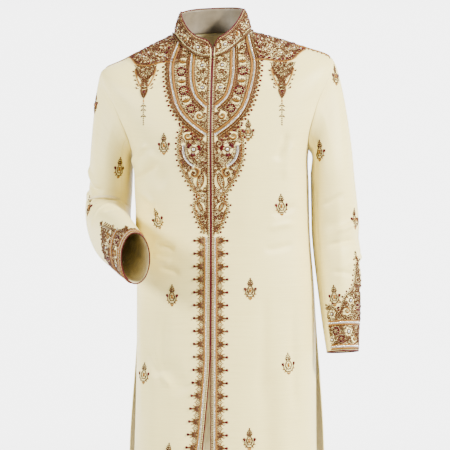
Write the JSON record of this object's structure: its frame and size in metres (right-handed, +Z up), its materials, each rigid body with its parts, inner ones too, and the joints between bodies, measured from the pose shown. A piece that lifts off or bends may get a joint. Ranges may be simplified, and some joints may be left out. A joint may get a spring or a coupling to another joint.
{
  "type": "sherwani coat",
  "caption": "Long fitted coat with a stand collar, edge-to-edge front, side slits and two-piece sleeves, one bent, in cream silk with embroidered yoke, front and cuffs.",
  "frame": {"origin": "between the shoulders at the height of the collar's seam, where the wearer carries the coat", "axes": "+Z up, the coat faces -Y, the wearer's left is +X"},
  "size_m": [0.5838, 0.3916, 1.1375],
  "materials": {
    "silk": "slubbed silk with a soft sheen",
    "piping": "satin piping",
    "gold_braid": "metal thread",
    "silver_braid": "metal thread and bugle beads",
    "stones": "sewn maroon stones and beads",
    "lining": "plain satin lining colour"
  },
  "bodies": {
    "root": {"front_left": "silk", "front_right": "silk", "back": "silk", "sleeve_left_upper": "silk", "sleeve_left_under": "silk", "sleeve_right_upper": "silk", "sleeve_right_under": "silk", "collar": "silk", "collar_piping": "piping", "collar_cord": "gold_braid", "front_piping_left": "piping", "front_piping_right": "piping", "underlap": "piping", "cuff_piping_left": "piping", "cuff_piping_right": "piping", "yoke_outer_left": "silver_braid", "yoke_outer_right": "silver_braid", "yoke_inner_left": "silver_braid", "yoke_inner_right": "silver_braid", "front_braid_left": "silver_braid", "front_braid_right": "silver_braid", "cuff_braid_left_low": "silver_braid", "cuff_braid_left_high": "silver_braid", "cuff_braid_right_low": "silver_braid", "cuff_braid_right_high": "silver_braid"}
  },
  "joints": []
}
